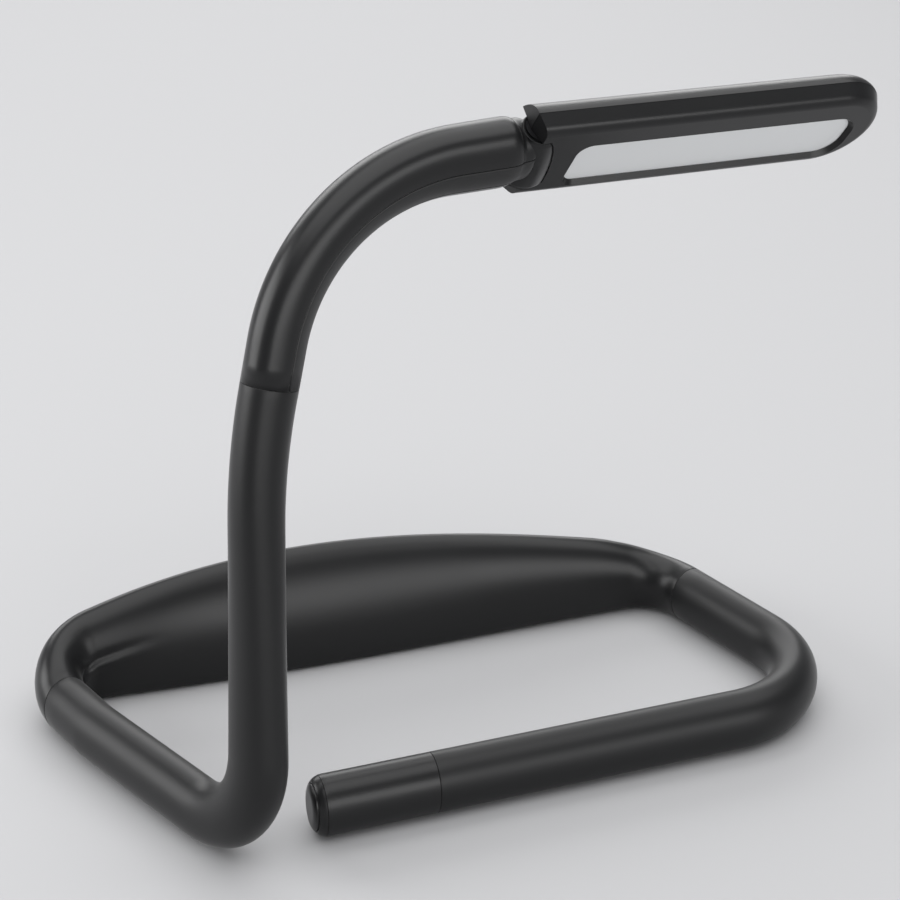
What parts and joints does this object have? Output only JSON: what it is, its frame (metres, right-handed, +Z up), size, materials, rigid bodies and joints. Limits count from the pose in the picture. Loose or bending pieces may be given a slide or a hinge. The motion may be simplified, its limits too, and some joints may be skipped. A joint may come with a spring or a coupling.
{
  "type": "neck reading light",
  "caption": "Bendable neck reading light set up as a desk stand, with a wide neck band, two flexible arms, a tilting lamp head and a push button.",
  "frame": {"origin": "on the table in the middle of the loop that the bent arms make", "axes": "+X along the front run to the right, +Y back towards the neck band, +Z up from the table"},
  "size_m": [0.2366, 0.1225, 0.1959],
  "materials": {
    "soft": "satin silicone",
    "shell": "satin black, fine texture",
    "case": "plain moulded",
    "opal": "opal, softly translucent",
    "clear": "clear acrylic",
    "board": "solder mask",
    "lamp": "phosphor",
    "steel": "plain",
    "gooseneck": "wound",
    "brass": "turned",
    "cell": "foil pouch",
    "button": "satin black"
  },
  "bodies": {
    "root": {"band_skin": "soft", "band_front_case": "case", "band_back_case": "case", "battery_cell": "cell", "control_board": "board", "left_end_ferrule": "steel", "right_end_ferrule": "steel", "lamp_arm_sleeve": "soft", "lamp_arm_core": "gooseneck", "tail_arm_sleeve": "soft", "tail_arm_core": "gooseneck"},
    "lamp_arm": {"arm_plug": "case", "arm_outer_shell": "shell", "arm_inner_cover": "shell", "hinge_bush": "brass", "hinge_pin": "steel", "hinge_washers": "steel"},
    "lamp_head": {"head_back_cover": "shell", "head_bezel": "shell", "light_diffuser": "opal", "light_guide": "clear", "led_board": "board", "leds": "lamp", "head_screws": "steel"},
    "tail_arm": {"tail_plug": "case", "tail_cap": "shell", "button_ring": "shell", "button_switch": "case", "charge_board": "board", "charge_socket": "steel"},
    "power_button": {"power_button": "button", "switch_plunger": "case"}
  },
  "joints": [
    {"name": "lamp_arm_flex", "type": "hinge", "parent": "root", "child": "lamp_arm", "pos_m": [-0.0642, -0.0603, 0.088], "axis": [0, 1, 0], "range_deg": [-25, 25], "deforming": ["lamp_arm_sleeve", "lamp_arm_core"]},
    {"name": "head_tilt", "type": "hinge", "parent": "lamp_arm", "child": "lamp_head", "pos_m": [0.0178, -0.0394, 0.1825], "axis": [0.0659, -0.6485, 0.7584], "range_deg": [-35, 40]},
    {"name": "tail_arm_flex", "type": "hinge", "parent": "root", "child": "tail_arm", "pos_m": [0.0985, -0.0485, 0.009], "axis": [0, 0, 1], "range_deg": [-20, 20], "deforming": ["tail_arm_sleeve", "tail_arm_core"]},
    {"name": "button_press", "type": "slide", "parent": "tail_arm", "child": "power_button", "axis": [1, 0, 0], "range_m": [0, 0.0007], "stiffness_N_per_m": 600, "springref_m": -0.0003}
  ]
}
